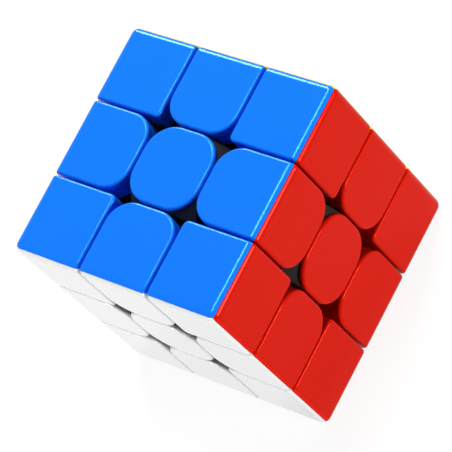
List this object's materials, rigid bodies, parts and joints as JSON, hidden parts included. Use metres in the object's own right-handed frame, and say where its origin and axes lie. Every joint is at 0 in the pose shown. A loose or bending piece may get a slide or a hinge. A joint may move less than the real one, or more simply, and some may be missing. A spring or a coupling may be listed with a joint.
{
  "type": "twisty puzzle cube",
  "caption": "Twisty puzzle cube with coloured plastic shells on black feet; all six faces turn and the centre caps pull off to reach the tension screws.",
  "frame": {"origin": "middle of the cube, which is the middle of its core", "axes": "+Z out of the top (blue) face, -Z bottom (green), +X right (red), -X left (orange), -Y front (white), +Y back (yellow)"},
  "size_m": [0.056, 0.056, 0.056],
  "materials": {
    "shell_top": "satin",
    "shell_bottom": "satin",
    "shell_right": "satin",
    "shell_left": "satin",
    "shell_front": "satin",
    "shell_back": "satin",
    "piece_shells": "satin",
    "inner_plastic": "satin",
    "steel": "zinc plated"
  },
  "bodies": {
    "core": {"core": "inner_plastic", "screws": "steel", "washers": "steel", "springs": "steel"},
    "top_centre": {"top_centre_base": "inner_plastic"},
    "top_cap_clip": {"top_cap": "shell_top"},
    "bottom_centre": {"bottom_centre_base": "inner_plastic"},
    "bottom_cap_clip": {"bottom_cap": "shell_bottom"},
    "front_centre": {"front_centre_base": "inner_plastic"},
    "front_cap_clip": {"front_cap": "shell_front"},
    "back_centre": {"back_centre_base": "inner_plastic"},
    "back_cap_clip": {"back_cap": "shell_back"},
    "left_centre": {"left_centre_base": "inner_plastic"},
    "left_cap_clip": {"left_cap": "shell_left"},
    "right_centre": {"right_centre_base": "inner_plastic"},
    "right_cap_clip": {"right_cap": "shell_right"},
    "edge_top_front": {"edge_top_front_shells": "piece_shells", "edge_top_front_foot": "inner_plastic"},
    "edge_top_back": {"edge_top_back_shells": "piece_shells", "edge_top_back_foot": "inner_plastic"},
    "edge_top_left": {"edge_top_left_shells": "piece_shells", "edge_top_left_foot": "inner_plastic"},
    "edge_top_right": {"edge_top_right_shells": "piece_shells", "edge_top_right_foot": "inner_plastic"},
    "edge_bottom_front": {"edge_bottom_front_shells": "piece_shells", "edge_bottom_front_foot": "inner_plastic"},
    "edge_bottom_back": {"edge_bottom_back_shells": "piece_shells", "edge_bottom_back_foot": "inner_plastic"},
    "edge_bottom_left": {"edge_bottom_left_shells": "piece_shells", "edge_bottom_left_foot": "inner_plastic"},
    "edge_bottom_right": {"edge_bottom_right_shells": "piece_shells", "edge_bottom_right_foot": "inner_plastic"},
    "edge_front_left": {"edge_front_left_shells": "piece_shells", "edge_front_left_foot": "inner_plastic"},
    "edge_front_right": {"edge_front_right_shells": "piece_shells", "edge_front_right_foot": "inner_plastic"},
    "edge_back_left": {"edge_back_left_shells": "piece_shells", "edge_back_left_foot": "inner_plastic"},
    "edge_back_right": {"edge_back_right_shells": "piece_shells", "edge_back_right_foot": "inner_plastic"},
    "corner_top_front_left": {"corner_top_front_left_shells": "piece_shells", "corner_top_front_left_foot": "inner_plastic"},
    "corner_top_front_right": {"corner_top_front_right_shells": "piece_shells", "corner_top_front_right_foot": "inner_plastic"},
    "corner_top_back_left": {"corner_top_back_left_shells": "piece_shells", "corner_top_back_left_foot": "inner_plastic"},
    "corner_top_back_right": {"corner_top_back_right_shells": "piece_shells", "corner_top_back_right_foot": "inner_plastic"},
    "corner_bottom_front_left": {"corner_bottom_front_left_shells": "piece_shells", "corner_bottom_front_left_foot": "inner_plastic"},
    "corner_bottom_front_right": {"corner_bottom_front_right_shells": "piece_shells", "corner_bottom_front_right_foot": "inner_plastic"},
    "corner_bottom_back_left": {"corner_bottom_back_left_shells": "piece_shells", "corner_bottom_back_left_foot": "inner_plastic"},
    "corner_bottom_back_right": {"corner_bottom_back_right_shells": "piece_shells", "corner_bottom_back_right_foot": "inner_plastic"}
  },
  "joints": [
    {"name": "turn_top", "type": "hinge", "parent": "core", "child": "top_centre", "pos_m": [0, 0, 0], "axis": [0, 0, 1], "range_deg": [-180, 180]},
    {"name": "turn_bottom", "type": "hinge", "parent": "core", "child": "bottom_centre", "pos_m": [0, 0, 0], "axis": [0, 0, -1], "range_deg": [-180, 180]},
    {"name": "turn_front", "type": "hinge", "parent": "core", "child": "front_centre", "pos_m": [0, 0, 0], "axis": [0, -1, 0], "range_deg": [-180, 180]},
    {"name": "turn_back", "type": "hinge", "parent": "core", "child": "back_centre", "pos_m": [0, 0, 0], "axis": [0, 1, 0], "range_deg": [-180, 180]},
    {"name": "turn_left", "type": "hinge", "parent": "core", "child": "left_centre", "pos_m": [0, 0, 0], "axis": [-1, 0, 0], "range_deg": [-180, 180]},
    {"name": "turn_right", "type": "hinge", "parent": "core", "child": "right_centre", "pos_m": [0, 0, 0], "axis": [1, 0, 0], "range_deg": [-180, 180]},
    {"name": "edge_top_front_turn", "type": "hinge", "parent": "top_centre", "child": "edge_top_front", "pos_m": [0, 0, 0], "axis": [0, -1, 0], "range_deg": [-180, 180]},
    {"name": "edge_top_back_turn", "type": "hinge", "parent": "top_centre", "child": "edge_top_back", "pos_m": [0, 0, 0], "axis": [0, 1, 0], "range_deg": [-180, 180]},
    {"name": "edge_top_left_turn", "type": "hinge", "parent": "top_centre", "child": "edge_top_left", "pos_m": [0, 0, 0], "axis": [-1, 0, 0], "range_deg": [-180, 180]},
    {"name": "edge_top_right_turn", "type": "hinge", "parent": "top_centre", "child": "edge_top_right", "pos_m": [0, 0, 0], "axis": [1, 0, 0], "range_deg": [-180, 180]},
    {"name": "edge_bottom_front_turn", "type": "hinge", "parent": "bottom_centre", "child": "edge_bottom_front", "pos_m": [0, 0, 0], "axis": [0, -1, 0], "range_deg": [-180, 180]},
    {"name": "edge_bottom_back_turn", "type": "hinge", "parent": "bottom_centre", "child": "edge_bottom_back", "pos_m": [0, 0, 0], "axis": [0, 1, 0], "range_deg": [-180, 180]},
    {"name": "edge_bottom_left_turn", "type": "hinge", "parent": "bottom_centre", "child": "edge_bottom_left", "pos_m": [0, 0, 0], "axis": [-1, 0, 0], "range_deg": [-180, 180]},
    {"name": "edge_bottom_right_turn", "type": "hinge", "parent": "bottom_centre", "child": "edge_bottom_right", "pos_m": [0, 0, 0], "axis": [1, 0, 0], "range_deg": [-180, 180]},
    {"name": "edge_front_left_turn", "type": "hinge", "parent": "front_centre", "child": "edge_front_left", "pos_m": [0, 0, 0], "axis": [-1, 0, 0], "range_deg": [-180, 180]},
    {"name": "edge_front_right_turn", "type": "hinge", "parent": "front_centre", "child": "edge_front_right", "pos_m": [0, 0, 0], "axis": [1, 0, 0], "range_deg": [-180, 180]},
    {"name": "edge_back_left_turn", "type": "hinge", "parent": "back_centre", "child": "edge_back_left", "pos_m": [0, 0, 0], "axis": [-1, 0, 0], "range_deg": [-180, 180]},
    {"name": "edge_back_right_turn", "type": "hinge", "parent": "back_centre", "child": "edge_back_right", "pos_m": [0, 0, 0], "axis": [1, 0, 0], "range_deg": [-180, 180]},
    {"name": "corner_top_front_left_turn", "type": "hinge", "parent": "edge_top_front", "child": "corner_top_front_left", "pos_m": [0, 0, 0], "axis": [-1, 0, 0], "range_deg": [-180, 180]},
    {"name": "corner_top_front_right_turn", "type": "hinge", "parent": "edge_top_front", "child": "corner_top_front_right", "pos_m": [0, 0, 0], "axis": [1, 0, 0], "range_deg": [-180, 180]},
    {"name": "corner_top_back_left_turn", "type": "hinge", "parent": "edge_top_back", "child": "corner_top_back_left", "pos_m": [0, 0, 0], "axis": [-1, 0, 0], "range_deg": [-180, 180]},
    {"name": "corner_top_back_right_turn", "type": "hinge", "parent": "edge_top_back", "child": "corner_top_back_right", "pos_m": [0, 0, 0], "axis": [1, 0, 0], "range_deg": [-180, 180]},
    {"name": "corner_bottom_front_left_turn", "type": "hinge", "parent": "edge_bottom_front", "child": "corner_bottom_front_left", "pos_m": [0, 0, 0], "axis": [-1, 0, 0], "range_deg": [-180, 180]},
    {"name": "corner_bottom_front_right_turn", "type": "hinge", "parent": "edge_bottom_front", "child": "corner_bottom_front_right", "pos_m": [0, 0, 0], "axis": [1, 0, 0], "range_deg": [-180, 180]},
    {"name": "corner_bottom_back_left_turn", "type": "hinge", "parent": "edge_bottom_back", "child": "corner_bottom_back_left", "pos_m": [0, 0, 0], "axis": [-1, 0, 0], "range_deg": [-180, 180]},
    {"name": "corner_bottom_back_right_turn", "type": "hinge", "parent": "edge_bottom_back", "child": "corner_bottom_back_right", "pos_m": [0, 0, 0], "axis": [1, 0, 0], "range_deg": [-180, 180]},
    {"name": "pull_top_cap", "type": "slide", "parent": "top_centre", "child": "top_cap_clip", "axis": [0, 0, 1], "range_m": [0, 0.014]},
    {"name": "pull_bottom_cap", "type": "slide", "parent": "bottom_centre", "child": "bottom_cap_clip", "axis": [0, 0, -1], "range_m": [0, 0.014]},
    {"name": "pull_front_cap", "type": "slide", "parent": "front_centre", "child": "front_cap_clip", "axis": [0, -1, 0], "range_m": [0, 0.014]},
    {"name": "pull_back_cap", "type": "slide", "parent": "back_centre", "child": "back_cap_clip", "axis": [0, 1, 0], "range_m": [0, 0.014]},
    {"name": "pull_left_cap", "type": "slide", "parent": "left_centre", "child": "left_cap_clip", "axis": [-1, 0, 0], "range_m": [0, 0.014]},
    {"name": "pull_right_cap", "type": "slide", "parent": "right_centre", "child": "right_cap_clip", "axis": [1, 0, 0], "range_m": [0, 0.014]}
  ],
  "couplings": [
    {"joint": "edge_top_front_turn", "follows": "turn_front", "ratio": 1},
    {"joint": "edge_top_back_turn", "follows": "turn_back", "ratio": 1},
    {"joint": "edge_top_left_turn", "follows": "turn_left", "ratio": 1},
    {"joint": "edge_top_right_turn", "follows": "turn_right", "ratio": 1},
    {"joint": "edge_bottom_front_turn", "follows": "turn_front", "ratio": 1},
    {"joint": "edge_bottom_back_turn", "follows": "turn_back", "ratio": 1},
    {"joint": "edge_bottom_left_turn", "follows": "turn_left", "ratio": 1},
    {"joint": "edge_bottom_right_turn", "follows": "turn_right", "ratio": 1},
    {"joint": "edge_front_left_turn", "follows": "turn_left", "ratio": 1},
    {"joint": "edge_front_right_turn", "follows": "turn_right", "ratio": 1},
    {"joint": "edge_back_left_turn", "follows": "turn_left", "ratio": 1},
    {"joint": "edge_back_right_turn", "follows": "turn_right", "ratio": 1},
    {"joint": "corner_top_front_left_turn", "follows": "turn_left", "ratio": 1},
    {"joint": "corner_top_front_right_turn", "follows": "turn_right", "ratio": 1},
    {"joint": "corner_top_back_left_turn", "follows": "turn_left", "ratio": 1},
    {"joint": "corner_top_back_right_turn", "follows": "turn_right", "ratio": 1},
    {"joint": "corner_bottom_front_left_turn", "follows": "turn_left", "ratio": 1},
    {"joint": "corner_bottom_front_right_turn", "follows": "turn_right", "ratio": 1},
    {"joint": "corner_bottom_back_left_turn", "follows": "turn_left", "ratio": 1},
    {"joint": "corner_bottom_back_right_turn", "follows": "turn_right", "ratio": 1}
  ]
}
